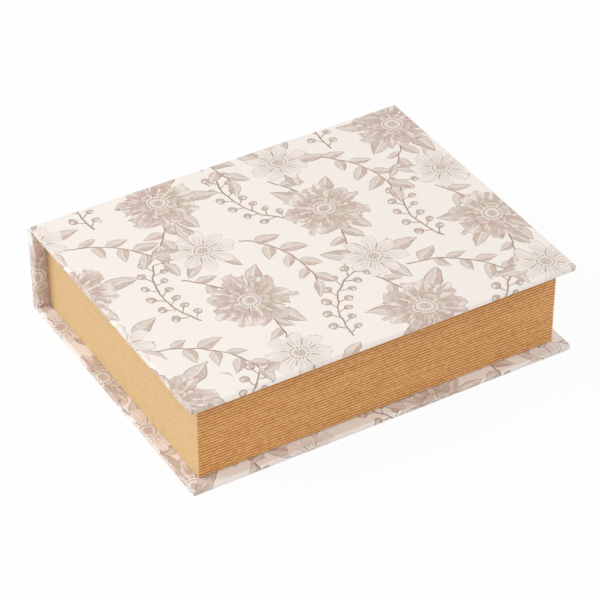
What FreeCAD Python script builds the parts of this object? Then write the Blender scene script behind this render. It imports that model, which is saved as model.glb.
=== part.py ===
import FreeCAD, Part
import Sketcher
import os

# A keepsake box in the shape of a closed book. Two covered boards, the lid and the base, are joined by a
# thick spine along the back. A board tray wrapped in ribbed paper stands on the base and looks like the
# edges of pages. X runs along the spine, -Y is the fore edge, Z is up, and the base rests on Z = 0.

doc = FreeCAD.newDocument("book_box")
sheet = doc.addObject("Spreadsheet::Sheet", "dims")

SIZES = {
    # the closed case
    "cover_length": 240.0,
    "cover_depth": 189.0,
    "box_height": 58.5,
    # the covered boards
    "cover_board": 3.0,
    "cover_sheet": 0.25,
    "cover_corner": 1.3,
    "cover_arris": 0.9,
    "turn_in": 15.0,
    "mitre_gap": 0.3,
    # the paper hinges between the boards and the spine
    "lid_hinge_gap": 5.0,
    "base_hinge_gap": 3.0,
    "crease_land": 0.8,
    "crease_radius": 1.4,
    "spine_seat": 0.2,
    # how far the covers stand out past the tray
    "square_end": 7.2,
    "square_fore": 7.7,
    # the tray
    "tray_board": 2.5,
    "floor_board": 2.0,
    "glue_gap": 0.1,
    # the ribbed paper round the tray
    "page_paper": 0.25,
    "rib_count": 27,
    "rib_depth": 0.6,
    "rib_groove": 0.3,
    "page_turn_in": 12.0,
    # the linings
    "lining": 0.2,
    "lining_margin": 5.0,
    "lining_reveal": 3.0,
    "strip_width": 12.0,
    "strip_fold": 1.2,
    "strip_margin": 0.5,
    "lid_clearance": 0.1,
    # the hidden closure
    "magnet_spacing": 130.0,
    "magnet_diameter": 8.0,
    "magnet_height": 1.5,
    "magnet_cover": 1.2,
    "keeper_diameter": 10.0,
    "keeper_height": 1.0,
    "disc_clearance": 0.1,
}
for row, (name, value) in enumerate(SIZES.items(), start=1):
    sheet.set(f"A{row}", name)
    sheet.set(f"B{row}", str(value))
    sheet.setAlias(f"B{row}", name)
doc.recompute()

# Places that several pieces share, as expressions on the sheet.
END = "dims.cover_length / 2"
FRONT = "-dims.cover_depth / 2"
BACK = "dims.cover_depth / 2"
PANEL = "(dims.cover_board + 2 * dims.cover_sheet)"
SPINE = "(2 * dims.cover_board + 2 * dims.cover_sheet)"
LID_LOW = f"(dims.box_height - {PANEL})"
LID_BACK = f"({BACK} - dims.lid_hinge_gap)"
BASE_BACK = f"({BACK} - dims.base_hinge_gap)"
SPINE_LOW = f"({PANEL} + dims.spine_seat)"
SPINE_HIGH = "(dims.box_height - dims.lid_hinge_gap)"
SPINE_FACE = f"({BACK} - {SPINE})"

TRAY_TOP = f"({LID_LOW} - dims.lining - dims.lid_clearance)"
CREST_END = f"({END} - dims.square_end)"
CREST_FRONT = f"({FRONT} + dims.square_fore)"
CREST_BACK = f"({SPINE_FACE} - dims.glue_gap)"
WRAP = "(dims.rib_depth + dims.page_paper)"
WALL_END = f"({CREST_END} - {WRAP})"
WALL_FRONT = f"({CREST_FRONT} + {WRAP})"
WALL_BACK = f"({CREST_BACK} - {WRAP})"
WALL_TOP = f"({TRAY_TOP} - dims.page_paper)"
ROOM_END = f"({WALL_END} - dims.tray_board)"
ROOM_FRONT = f"({WALL_FRONT} + dims.tray_board)"
ROOM_BACK = f"({WALL_BACK} - dims.tray_board)"
FLOOR_TOP = f"({PANEL} + dims.floor_board)"


def size(expression):
    """The value of an expression on the sheet, in millimetres."""
    value = sheet.evalExpression(expression)
    return float(getattr(value, "Value", value))


def new_body(label):
    body = doc.addObject("PartDesign::Body", label)
    body.Label = label
    return body


def new_sketch(body, name, role, offset="0"):
    """A sketch on one of the body's origin planes, moved along the plane's normal."""
    sketch = body.newObject("Sketcher::SketchObject", name)
    planes = [item for item in body.Origin.OriginFeatures if item.Role == role]
    sketch.AttachmentSupport = [(planes[0], "")]
    sketch.MapMode = "FlatFace"
    sketch.setExpression("AttachmentOffset.Base.z", offset)
    return sketch


def drive(sketch, constraint, name, expression):
    """Adds a named constraint that follows the sheet."""
    index = sketch.addConstraint(constraint)
    sketch.renameConstraint(index, name)
    sketch.setExpression(f"Constraints.{name}", expression)


def outline(sketch, corners, tag):
    """A closed outline of straight sides, whose corners are pairs of expressions."""
    points = [FreeCAD.Vector(size(x), size(y), 0) for x, y in corners]
    first = sketch.GeometryCount
    count = len(points)
    for i in range(count):
        sketch.addGeometry(Part.LineSegment(points[i], points[(i + 1) % count]))
    for i in range(count):
        sketch.addConstraint(Sketcher.Constraint("Coincident", first + i, 2, first + (i + 1) % count, 1))
    for i, (x, y) in enumerate(corners):
        across = Sketcher.Constraint("DistanceX", -1, 1, first + i, 1, points[i].x)
        along = Sketcher.Constraint("DistanceY", -1, 1, first + i, 1, points[i].y)
        drive(sketch, across, f"{tag}_x{i}", x)
        drive(sketch, along, f"{tag}_y{i}", y)


def rectangle(sketch, end, front, back, tag="side"):
    """A rectangle that is centred across the sketch's first axis."""
    corners = [(f"-({end})", front), (end, front), (end, back), (f"-({end})", back)]
    outline(sketch, corners, tag)


def pad(body, name, sketch, length):
    feature = body.newObject("PartDesign::Pad", name)
    feature.Profile = sketch
    feature.setExpression("Length", length)
    return feature


def pocket(body, name, sketch, length):
    """A cut that runs from the sketch along its normal."""
    feature = body.newObject("PartDesign::Pocket", name)
    feature.Profile = sketch
    feature.Reversed = True
    feature.setExpression("Length", length)
    return feature


def slab(body, name, end, front, back, low, height):
    """A rectangular plate, centred in X."""
    sketch = new_sketch(body, f"{name}_outline", "XY_Plane", low)
    rectangle(sketch, end, front, back)
    return pad(body, name, sketch, height)


def edges_where(feature, test):
    """The names of a feature's edges whose bounding box passes the test."""
    edges = feature.Shape.Edges
    return [f"Edge{i}" for i, edge in enumerate(edges, start=1) if test(edge.BoundBox)]


def fillet(body, name, base, test, radius):
    doc.recompute()
    feature = body.newObject("PartDesign::Fillet", name)
    feature.Base = (base, edges_where(base, test))
    feature.setExpression("Radius", radius)
    return feature


def near(a, b):
    return abs(a - b) < 1e-4


# The covered panels: one greyboard panel each for the lid and the base, and the printed sheet round it.


def soft_panel(body, inset, back, low):
    """A panel with soft fore corners and soft edges, set in from the covered size by one paper."""
    end = f"({END} - {inset})"
    front = f"({FRONT} + {inset})"
    height = f"({PANEL} - 2 * {inset})"
    plate = slab(body, "plate", end, front, back, f"({low} + {inset})", height)
    fore = size(front)
    spine_side = size(back)
    corners = fillet(
        body, "fore_corners", plate,
        lambda box: box.ZLength > 1e-4 and near(box.YMax, fore),
        f"dims.cover_corner - {inset}",
    )
    return fillet(
        body, "soft_edges", corners,
        lambda box: box.ZLength < 1e-4 and not near(box.YMin, spine_side),
        f"dims.cover_arris - {inset}",
    )


def cover_sheet(label, back, low, window_low):
    """The sheet round a panel: open to the spine, turned in on the other sides and mitred at the corners."""
    body = new_body(label)
    panel = soft_panel(body, "0", back, low)
    doc.recompute()
    spine_side = size(back)
    open_faces = [
        f"Face{i}" for i, face in enumerate(panel.Shape.Faces, start=1)
        if near(face.BoundBox.YMin, spine_side)
    ]
    shell = body.newObject("PartDesign::Thickness", "paper_shell")
    shell.Base = (panel, open_faces)
    shell.setExpression("Value", "dims.cover_sheet")
    shell.Reversed = True
    shell.Join = "Intersection"
    window = new_sketch(body, "window_outline", "XY_Plane", window_low)
    rectangle(window, f"{END} - dims.turn_in", f"{FRONT} + dims.turn_in", f"{back} + dims.turn_in")
    pocket(body, "window", window, "dims.cover_sheet")
    mitres = new_sketch(body, "mitre_outline", "XY_Plane", window_low)
    half_cut = "dims.mitre_gap * sqrt(0.5)"
    for tag, side in (("tail", -1), ("head", 1)):
        ends = [
            (f"{side} * ({END} - {depth} + {step} * {half_cut})", f"{FRONT} + {depth}")
            for depth, step in (
                ("dims.turn_in", -1), ("dims.turn_in", 1),
                ("dims.cover_corner", 1), ("dims.cover_corner", -1),
            )
        ]
        outline(mitres, ends, tag)
    pocket(body, "mitres", mitres, "dims.cover_sheet")
    return body


def panel_board(label, back, low):
    body = new_body(label)
    soft_panel(body, "dims.cover_sheet", back, low)
    return body


base_board = panel_board("base_board", BASE_BACK, "0")
base_sheet = cover_sheet("base_cover_sheet", BASE_BACK, "0", f"{PANEL} - dims.cover_sheet")

# The lid board carries two shallow round pockets for the steel keepers, over the tray's front wall.
DISC_X = "dims.magnet_spacing / 2"
KEEPER_Y = f"({WALL_FRONT} + dims.tray_board / 2)"
BOARD_LOW = f"({LID_LOW} + dims.cover_sheet)"


def disc_pair(sketch, height, diameter):
    """Two equal circles at the closure's spacing."""
    for index, side in enumerate((-1, 1)):
        place = FreeCAD.Vector(side * size(DISC_X), size(height), 0)
        circle = sketch.addGeometry(Part.Circle(place, FreeCAD.Vector(0, 0, 1), size(diameter) / 2))
        across = Sketcher.Constraint("DistanceX", -1, 1, circle, 3, place.x)
        along = Sketcher.Constraint("DistanceY", -1, 1, circle, 3, place.y)
        around = Sketcher.Constraint("Diameter", circle, size(diameter))
        drive(sketch, across, f"disc_x{index}", f"{side} * {DISC_X}")
        drive(sketch, along, f"disc_y{index}", height)
        drive(sketch, around, f"disc_d{index}", diameter)


lid_board = panel_board("lid_board", LID_BACK, LID_LOW)
keeper_seats = new_sketch(lid_board, "keeper_seat_outline", "XY_Plane", BOARD_LOW)
disc_pair(keeper_seats, KEEPER_Y, "dims.keeper_diameter + 2 * dims.disc_clearance")
pocket(lid_board, "keeper_seats", keeper_seats, "dims.keeper_height + dims.disc_clearance")
lid_sheet = cover_sheet("lid_cover_sheet", LID_BACK, LID_LOW, LID_LOW)

# The spine: two greyboard strips laminated together, in a sleeve of the printed paper that is open at the
# top and the bottom and turned in on the inner face at head and tail.
spine_boards = []
for label, layer in (("spine_outer_board", 0), ("spine_inner_board", 1)):
    body = new_body(label)
    outer = f"({BACK} - dims.cover_sheet - {layer} * dims.cover_board)"
    strip = slab(
        body, "strip", f"({END} - dims.cover_sheet)", f"({outer} - dims.cover_board)", outer,
        SPINE_LOW, f"{SPINE_HIGH} - {SPINE_LOW}",
    )
    covered = size(outer) if layer == 0 else size(outer) - size("dims.cover_board")
    fillet(
        body, "soft_ends", strip,
        lambda box, covered=covered: box.ZLength > 1e-4 and near(box.YMin, covered),
        "dims.cover_arris - dims.cover_sheet",
    )
    spine_boards.append(body)

spine_sheet = new_body("spine_cover_sheet")
block = slab(
    spine_sheet, "block", END, SPINE_FACE, BACK, SPINE_LOW, f"{SPINE_HIGH} - {SPINE_LOW}"
)
block = fillet(spine_sheet, "soft_ends", block, lambda box: box.ZLength > 1e-4, "dims.cover_arris")
doc.recompute()
sleeve = spine_sheet.newObject("PartDesign::Thickness", "paper_sleeve")
sleeve.Base = (block, [
    f"Face{i}" for i, face in enumerate(block.Shape.Faces, start=1) if face.BoundBox.ZLength < 1e-4
])
sleeve.setExpression("Value", "dims.cover_sheet")
sleeve.Reversed = True
sleeve.Join = "Intersection"
spine_window = new_sketch(spine_sheet, "window_outline", "XY_Plane", SPINE_LOW)
rectangle(
    spine_window, f"{END} - dims.turn_in", f"{SPINE_FACE} - dims.turn_in",
    f"{SPINE_FACE} + dims.cover_sheet",
)
pocket(spine_sheet, "window", spine_window, f"{SPINE_HIGH} - {SPINE_LOW}")


# The paper hinges: a strip that leaves the panel's outer face, is creased twice and lies on the spine. Its
# ends are tucked in, so that the hollow behind it is closed at head and tail.


def hinge_sheet(label, gap, face, inward, spine_end):
    """One hinge strip. face is the panel's outer plane and inward the way to the box's middle."""
    body = new_body(label)
    chamfer = f"({gap} - dims.crease_land)"
    paper = "dims.cover_sheet"
    slant = f"{paper} * tan(22.5 deg)"
    start = f"({BACK} - {gap})"
    corners = [
        (start, face),
        (f"{BACK} - {chamfer}", face),
        (BACK, f"{face} + {inward} * {chamfer}"),
        (BACK, spine_end),
        (f"{BACK} - {paper}", spine_end),
        (f"{BACK} - {paper}", f"{face} + {inward} * ({chamfer} + {slant})"),
        (f"{BACK} - {chamfer} - {slant}", f"{face} + {inward} * {paper}"),
        (start, f"{face} + {inward} * {paper}"),
    ]
    profile = new_sketch(body, "profile", "YZ_Plane")
    outline(profile, corners, "crease")
    strip = pad(body, "strip", profile, "dims.cover_length")
    strip.Midplane = True
    doc.recompute()
    outer = [(size(y), size(z)) for y, z in corners[1:3]]
    inner = [(size(y), size(z)) for y, z in corners[5:7]]

    def along(points):
        return lambda box: box.XLength > 1 and any(near(box.YMin, y) and near(box.ZMin, z) for y, z in points)

    strip = fillet(body, "outer_creases", strip, along(outer), "dims.crease_radius")
    fillet(body, "inner_creases", strip, along(inner), f"dims.crease_radius - {paper}")
    for tag, place in (("tail", f"-({END})"), ("head", f"{END} - {paper}")):
        tuck_outline = new_sketch(body, f"{tag}_tuck_outline", "YZ_Plane", place)
        outline(tuck_outline, [corners[7], corners[6], corners[5], corners[4], (start, spine_end)], "tuck")
        pad(body, f"{tag}_tuck", tuck_outline, paper)
    return body


lid_hinge = hinge_sheet("lid_hinge_sheet", "dims.lid_hinge_gap", "dims.box_height", -1, SPINE_HIGH)
base_hinge = hinge_sheet("base_hinge_sheet", "dims.base_hinge_gap", "0", 1, SPINE_LOW)

# The tray: a floor between four board walls. The long walls run past the ends of the short ones.
WALL_HEIGHT = f"{WALL_TOP} - {PANEL}"
tray_floor = new_body("tray_floor")
slab(tray_floor, "plate", ROOM_END, ROOM_FRONT, ROOM_BACK, PANEL, "dims.floor_board")

front_wall = new_body("tray_front_wall")
slab(front_wall, "plate", WALL_END, WALL_FRONT, ROOM_FRONT, PANEL, WALL_HEIGHT)
back_wall = new_body("tray_back_wall")
slab(back_wall, "plate", WALL_END, ROOM_BACK, WALL_BACK, PANEL, WALL_HEIGHT)

end_walls = []
for label, side in (("tray_tail_wall", -1), ("tray_head_wall", 1)):
    wall = new_body(label)
    wall_sketch = new_sketch(wall, "plate_outline", "XY_Plane", PANEL)
    near_face = f"{side} * {ROOM_END}"
    far_face = f"{side} * {WALL_END}"
    outline(wall_sketch, [
        (near_face, ROOM_FRONT), (far_face, ROOM_FRONT), (far_face, ROOM_BACK), (near_face, ROOM_BACK),
    ], "side")
    pad(wall, "plate", wall_sketch, WALL_HEIGHT)
    end_walls.append(wall)

# The magnets sit in round pockets in the inner face of the front wall, just under its top edge.
MAGNET_Z = f"({WALL_TOP} - dims.magnet_cover - dims.magnet_diameter / 2 - dims.disc_clearance)"
magnet_seats = new_sketch(front_wall, "magnet_seat_outline", "XZ_Plane", f"-({ROOM_FRONT})")
disc_pair(magnet_seats, MAGNET_Z, "dims.magnet_diameter + 2 * dims.disc_clearance")
pocket(front_wall, "magnet_seats", magnet_seats, "dims.magnet_height + dims.disc_clearance")


def disc_set(label, diameter, height, y, z, turned):
    """Two loose discs, lying flat or turned up on edge to face along Y."""
    discs = []
    for side in (-1, 1):
        disc = doc.addObject("Part::Cylinder", f"{label}_disc")
        disc.setExpression("Radius", f"{diameter} / 2")
        disc.setExpression("Height", height)
        disc.setExpression("Placement.Base.x", f"{side} * {DISC_X}")
        disc.setExpression("Placement.Base.y", y)
        disc.setExpression("Placement.Base.z", z)
        if turned:
            disc.Placement.Rotation = FreeCAD.Rotation(FreeCAD.Vector(1, 0, 0), 90)
        discs.append(disc)
    pair = doc.addObject("Part::Compound", label)
    pair.Links = discs
    pair.Label = label
    return pair


magnets = disc_set(
    "closure_magnets", "dims.magnet_diameter", "dims.magnet_height", ROOM_FRONT, MAGNET_Z, turned=True
)
keepers = disc_set(
    "closure_keepers", "dims.keeper_diameter", "dims.keeper_height", KEEPER_Y, BOARD_LOW, turned=False
)

# The page-edge paper: one ribbed sheet round all four walls, folded over their top edge and turned in. The
# ribs run round the tray like the edges of leaves, and each corner is mitred by the fold.
page_paper = new_body("page_edge_paper")
ring_route = new_sketch(page_paper, "route", "XY_Plane", PANEL)
route_end = f"({CREST_END} - dims.rib_depth)"
route_front = f"({CREST_FRONT} + dims.rib_depth)"
route_back = f"({CREST_BACK} - dims.rib_depth)"
outline(ring_route, [
    ("0", route_front), (route_end, route_front), (route_end, route_back),
    (f"-({route_end})", route_back), (f"-({route_end})", route_front),
], "route")
band_section = new_sketch(page_paper, "band_section", "YZ_Plane")
flap_low = f"{TRAY_TOP} - dims.page_turn_in"
outline(band_section, [
    (route_front, PANEL), (WALL_FRONT, PANEL), (WALL_FRONT, WALL_TOP), (ROOM_FRONT, WALL_TOP),
    (ROOM_FRONT, flap_low), (f"{ROOM_FRONT} + dims.page_paper", flap_low),
    (f"{ROOM_FRONT} + dims.page_paper", TRAY_TOP), (route_front, TRAY_TOP),
], "band")
doc.recompute()


def swept_round(name, section):
    """A section carried round the tray with square corners."""
    pipe = page_paper.newObject("PartDesign::AdditivePipe", name)
    pipe.Profile = section
    pipe.Spine = (ring_route, [f"Edge{i + 1}" for i in range(ring_route.GeometryCount)])
    pipe.Transition = "Right corner"
    return pipe


band = swept_round("band", band_section)
doc.recompute()

RIB_PITCH = f"(({TRAY_TOP} - {PANEL}) / dims.rib_count)"
RIB_LOW = f"({PANEL} + dims.rib_groove / 2)"
RIB_HIGH = f"({PANEL} + {RIB_PITCH} - dims.rib_groove / 2)"
rib_section = new_sketch(page_paper, "rib_section", "YZ_Plane")
rib_root = f"({route_front} + dims.page_paper / 2)"
half_width = size(f"({RIB_HIGH} - {RIB_LOW}) / 2")
depth = size("dims.rib_depth")
radius = (half_width ** 2 + depth ** 2) / (2 * depth)
low_point = FreeCAD.Vector(size(route_front), size(RIB_LOW), 0)
high_point = FreeCAD.Vector(size(route_front), size(RIB_HIGH), 0)
root_low = FreeCAD.Vector(size(rib_root), size(RIB_LOW), 0)
root_high = FreeCAD.Vector(size(rib_root), size(RIB_HIGH), 0)
crest = FreeCAD.Vector(size(CREST_FRONT), (low_point.y + high_point.y) / 2, 0)
rib_section.addGeometry(Part.Arc(high_point, crest, low_point))
rib_section.addGeometry(Part.LineSegment(low_point, root_low))
rib_section.addGeometry(Part.LineSegment(root_low, root_high))
rib_section.addGeometry(Part.LineSegment(root_high, high_point))
for line, other in ((0, 1), (1, 2), (2, 3), (3, 0)):
    rib_section.addConstraint(Sketcher.Constraint("Coincident", line, 2, other, 1))
for index, (point, y, z) in enumerate((
    (low_point, route_front, RIB_LOW), (root_low, rib_root, RIB_LOW), (root_high, rib_root, RIB_HIGH),
), start=1):
    across = Sketcher.Constraint("DistanceX", -1, 1, index, 1, point.x)
    along = Sketcher.Constraint("DistanceY", -1, 1, index, 1, point.y)
    drive(rib_section, across, f"rib_y{index}", y)
    drive(rib_section, along, f"rib_z{index}", z)
drive(rib_section, Sketcher.Constraint("DistanceX", -1, 1, 0, 1, high_point.x), "rib_y4", route_front)
drive(rib_section, Sketcher.Constraint("DistanceY", -1, 1, 0, 1, high_point.y), "rib_z4", RIB_HIGH)
half = f"(({RIB_HIGH} - {RIB_LOW}) / 2)"
rounding = f"({half} * {half} + dims.rib_depth * dims.rib_depth) / (2 * dims.rib_depth)"
drive(rib_section, Sketcher.Constraint("Radius", 0, radius), "rib_rounding", rounding)
doc.recompute()
rib = swept_round("rib", rib_section)
doc.recompute()
ribs = page_paper.newObject("PartDesign::LinearPattern", "ribs")
ribs.Originals = [rib]
upright = [item for item in page_paper.Origin.OriginFeatures if item.Role == "Z_Axis"]
ribs.Direction = (upright[0], [""])
ribs.setExpression("Length", f"{RIB_PITCH} * (dims.rib_count - 1)")
ribs.setExpression("Occurrences", "dims.rib_count")
page_paper.Tip = ribs

# The linings: one sheet on the tray's floor, a band round its walls that covers the turned-in edge, and a
# sheet inside the lid that fills the window between the turn-ins and laps over them.
floor_lining = new_body("floor_lining")
slab(floor_lining, "sheet", ROOM_END, ROOM_FRONT, ROOM_BACK, FLOOR_TOP, "dims.lining")

wall_lining = new_body("wall_lining")
band_low = f"({FLOOR_TOP} + dims.lining)"
band_outline = new_sketch(wall_lining, "band_outline", "XY_Plane", band_low)
for tag, step in (("outer", "dims.page_paper"), ("inner", "(dims.page_paper + dims.lining)")):
    rectangle(band_outline, f"{ROOM_END} - {step}", f"{ROOM_FRONT} + {step}", f"{ROOM_BACK} - {step}", tag)
pad(wall_lining, "band", band_outline, f"{TRAY_TOP} - dims.lining_reveal - {band_low}")

STRIP_FRONT = f"({LID_BACK} - dims.strip_width)"
lid_lining = new_body("lid_lining")
slab(
    lid_lining, "sheet", f"{END} - dims.lining_margin", f"{FRONT} + dims.lining_margin", STRIP_FRONT,
    f"({LID_LOW} - dims.lining)", "dims.lining",
)
slab(
    lid_lining, "middle", f"{END} - dims.turn_in", f"{FRONT} + dims.turn_in", STRIP_FRONT,
    LID_LOW, "dims.cover_sheet",
)

# The inner hinge strip is pasted under the lid, folds back on itself in the corner and is pasted on top of
# the spine. It runs almost to the ends of the covers, so that no board shows as it opens out flat.
hinge_strip = new_body("inner_hinge_strip")
fold_y = f"({LID_BACK} + dims.lid_hinge_gap / 2)"
strip_high = LID_LOW
strip_low = SPINE_HIGH
fold_out = f"({fold_y} + dims.strip_fold)"
strip_profile = new_sketch(hinge_strip, "profile", "YZ_Plane")
outline(strip_profile, [
    (STRIP_FRONT, strip_high), (fold_out, strip_high), (fold_out, strip_low),
    (f"{SPINE_FACE} + dims.cover_sheet", strip_low),
    (f"{SPINE_FACE} + dims.cover_sheet", f"{strip_low} + dims.lining"),
    (f"{fold_out} - dims.lining", f"{strip_low} + dims.lining"),
    (f"{fold_out} - dims.lining", f"{strip_high} - dims.lining"),
    (STRIP_FRONT, f"{strip_high} - dims.lining"),
], "fold")
strip_pad = pad(hinge_strip, "strip", strip_profile, "dims.cover_length - 2 * dims.strip_margin")
strip_pad.Midplane = True

doc.recompute()
NODES = [
    base_board, base_sheet, base_hinge, *spine_boards, spine_sheet, lid_board, lid_sheet, lid_lining,
    lid_hinge, hinge_strip, tray_floor, front_wall, back_wall, *end_walls, page_paper, floor_lining,
    wall_lining, magnets, keepers,
]
for item in doc.Objects:
    if "Invalid" in item.State or "Error" in item.State:
        raise RuntimeError(f"{item.Label} failed: {item.State}")
for node in NODES:
    if node.Shape.isNull() or not node.Shape.isValid():
        raise RuntimeError(f"{node.Label} has no valid shape")

os.makedirs("parts", exist_ok=True)
for node in NODES:
    node.Shape.exportStep(f"parts/{node.Label}.step")
    print(f"{node.Label}: {len(node.Shape.Solids)} solid(s), {node.Shape.Volume:.1f} mm3")
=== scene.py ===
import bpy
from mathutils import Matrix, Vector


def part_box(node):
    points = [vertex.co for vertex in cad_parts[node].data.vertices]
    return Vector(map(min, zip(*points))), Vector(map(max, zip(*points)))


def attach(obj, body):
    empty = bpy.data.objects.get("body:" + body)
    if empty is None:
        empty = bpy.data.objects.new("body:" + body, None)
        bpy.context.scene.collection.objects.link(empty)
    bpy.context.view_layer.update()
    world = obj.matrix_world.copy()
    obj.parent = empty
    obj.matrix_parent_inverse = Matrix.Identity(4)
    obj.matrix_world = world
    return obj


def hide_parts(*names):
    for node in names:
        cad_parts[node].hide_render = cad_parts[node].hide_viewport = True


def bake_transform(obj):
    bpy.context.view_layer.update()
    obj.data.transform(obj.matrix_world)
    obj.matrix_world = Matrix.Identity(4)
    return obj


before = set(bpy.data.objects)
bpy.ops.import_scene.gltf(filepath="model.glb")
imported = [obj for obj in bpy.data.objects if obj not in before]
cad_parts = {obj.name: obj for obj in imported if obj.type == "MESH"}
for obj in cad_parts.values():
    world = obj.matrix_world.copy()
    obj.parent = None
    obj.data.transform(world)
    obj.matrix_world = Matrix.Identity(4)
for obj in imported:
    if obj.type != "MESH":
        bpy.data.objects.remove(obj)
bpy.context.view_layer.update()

import math

import bmesh
import bpy
from mathutils import Matrix, Vector, noise

# The greyboard: the stiff panels of lid and base, the two strips of the spine, and the tray's walls and
# floor. It is pressed from waste paper and cut on a board cutter, and the papers are pasted over it, so it
# shows only where a paper stops.


def linear(code):
    """Linear RGBA of an sRGB hex colour."""
    parts = [int(code[i:i + 2], 16) / 255 for i in (1, 3, 5)]
    return [c / 12.92 if c <= 0.04045 else ((c + 0.055) / 1.055) ** 2.4 for c in parts] + [1.0]


def add(tree, kind, *inputs, **settings):
    """Adds a node with its settings and fills its inputs in order; a node stands for its first output."""
    node = tree.nodes.new(kind if kind.startswith("Node") else "ShaderNode" + kind)
    for key, value in settings.items():
        setattr(node, key, value)
    for socket, value in zip([s for s in node.inputs if s.enabled], inputs):
        if isinstance(value, bpy.types.Node):
            value = next(s for s in value.outputs if s.enabled)
        if isinstance(value, bpy.types.NodeSocket):
            tree.links.new(value, socket)
        elif value is not None:
            socket.default_value = value
    return node


def new_material(name):
    """An empty material and its node tree."""
    material = bpy.data.materials.new(name)
    material.use_nodes = True
    material.node_tree.nodes.clear()
    return material, material.node_tree


def dress(material, *nodes):
    """Gives CAD nodes their finish."""
    for node in nodes:
        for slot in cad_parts[node].material_slots:
            slot.material = material


# Greyboard: grey and brown fibres about 2 mm long lie in the plane of a dull, slightly rough board. Real
# ones are too thin to show, so they are drawn thicker. Grain is in millimetres.
FIBRE_GRAIN = (2.0, 0.714, 0.333)
MOTTLE_GRAIN = 6.25
greyboard, tree = new_material("greyboard")
spot = add(tree, "TexCoord").outputs["Object"]
fibre_way = add(tree, "VectorMath", spot, [1000 / size for size in FIBRE_GRAIN], operation="MULTIPLY")
fibres = add(tree, "TexNoise", fibre_way, 1.0, 3.0, 0.6)
mottle = add(tree, "TexNoise", spot, 1000 / MOTTLE_GRAIN, 2.0)
tone = add(tree, "Math", fibres, 0.6, mottle, operation="MULTIPLY_ADD")
tone = add(tree, "MapRange", tone, 0.55, 1.05, 0.0, 1.0)
colour = add(tree, "Mix", tone, linear("#857D72"), linear("#B5AC9E"), data_type="RGBA")
relief = add(tree, "Bump", 0.3, 0.0002, None, fibres)
add(tree, "OutputMaterial", add(tree, "BsdfPrincipled", colour, 0.0, 0.9, 1.45, 1.0, relief))
dress(greyboard, "base_board", "spine_inner_board", "spine_outer_board", "lid_board", "tray_floor",
      "tray_front_wall", "tray_back_wall", "tray_head_wall", "tray_tail_wall")

# The printed covering paper of the base: matt paper pasted round the board, its edges folded in 15 mm and
# mitred at the fore corners. It is part of one sheet that also covers hinges, spine and lid, and a UV map in
# metres keeps each part's place in that flat sheet, so that the print runs on over edges and hinges.


def new_group(name, inputs, outputs):
    """An empty node group with the named sockets, and the outputs of its inlet."""
    tree = bpy.data.node_groups.new(name, "ShaderNodeTree")
    for way, sockets in (("INPUT", inputs), ("OUTPUT", outputs)):
        for label, kind in sockets.items():
            tree.interface.new_socket(label, in_out=way, socket_type="NodeSocket" + kind)
    return tree, add(tree, "NodeGroupInput").outputs


# A half-drop repeat, as a printer lays one out: columns of cells, each dropped half a cell from the last.
half_drop, into = new_group(
    "half_drop", {"Flat": "Vector", "Size": "Vector", "Shift": "Vector"},
    {"Local": "Vector", "Chance": "Vector"})
scaled = add(half_drop, "VectorMath", into["Flat"], into["Size"], operation="DIVIDE")
moved = add(half_drop, "VectorMath", scaled, into["Shift"], operation="ADD")
at = add(half_drop, "SeparateXYZ", moved).outputs
column = add(half_drop, "Math", at["X"], operation="FLOOR")
dropped = add(half_drop, "Math", column, 0.5, at["Y"], operation="MULTIPLY_ADD")
row = add(half_drop, "Math", dropped, operation="FLOOR")
part_x = add(half_drop, "Math", at["X"], operation="FRACT")
part_y = add(half_drop, "Math", dropped, operation="FRACT")
part = add(half_drop, "CombineXYZ", part_x, part_y, 0.0)
part = add(half_drop, "VectorMath", part, (0.5, 0.5, 0.0), operation="SUBTRACT")
local = add(half_drop, "VectorMath", part, into["Size"], operation="MULTIPLY")
cell = add(half_drop, "CombineXYZ", column, row, 0.0)
cell = add(half_drop, "VectorMath", cell, into["Shift"], operation="ADD")
chance = add(half_drop, "TexWhiteNoise", cell)
add(half_drop, "NodeGroupOutput", local, chance.outputs["Color"])

# A leaf from (0, 0) to (1, 0): one half darker, a pale midrib and side veins, and a thin drawn edge. Every
# motif gives its ink as wash, line and cover.
leaf, into = new_group("leaf", {"Point": "Vector", "Width": "Float"}, {"Ink": "Vector"})
at = add(leaf, "SeparateXYZ", into["Point"]).outputs
swell = add(leaf, "Math", at["X"], 0.72, operation="POWER")
swell = add(leaf, "Math", swell, math.pi, operation="MULTIPLY")
swell = add(leaf, "Math", swell, operation="SINE")
half_width = add(leaf, "Math", swell, into["Width"], operation="MULTIPLY")
off_rib = add(leaf, "Math", at["Y"], operation="ABSOLUTE")
inset = add(leaf, "Math", half_width, off_rib, operation="SUBTRACT")
cover = add(leaf, "MapRange", inset, 0.0, 0.012, 0.0, 1.0)
edge = add(leaf, "MapRange", inset, 0.022, 0.04, 1.0, 0.0)
rib = add(leaf, "MapRange", off_rib, 0.008, 0.024, 1.0, 0.0)
slant = add(leaf, "Math", off_rib, -1.3, at["X"], operation="MULTIPLY_ADD")
slant = add(leaf, "Math", slant, 7.0, operation="MULTIPLY")
vein = add(leaf, "Math", slant, 0.5, operation="PINGPONG")
vein = add(leaf, "MapRange", vein, 0.03, 0.11, 0.55, 0.0)
pale = add(leaf, "Math", rib, vein, operation="MAXIMUM")
side = add(leaf, "MapRange", at["Y"], -0.015, 0.015, 1.0, 0.62)
wash = add(leaf, "Math", pale, -0.85, 1.0, operation="MULTIPLY_ADD")
wash = add(leaf, "Math", wash, side, operation="MULTIPLY")
wash = add(leaf, "Math", wash, cover, operation="MULTIPLY")
line = add(leaf, "Math", edge, cover, operation="MULTIPLY")
add(leaf, "NodeGroupOutput", add(leaf, "CombineXYZ", wash, line, cover))

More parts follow.
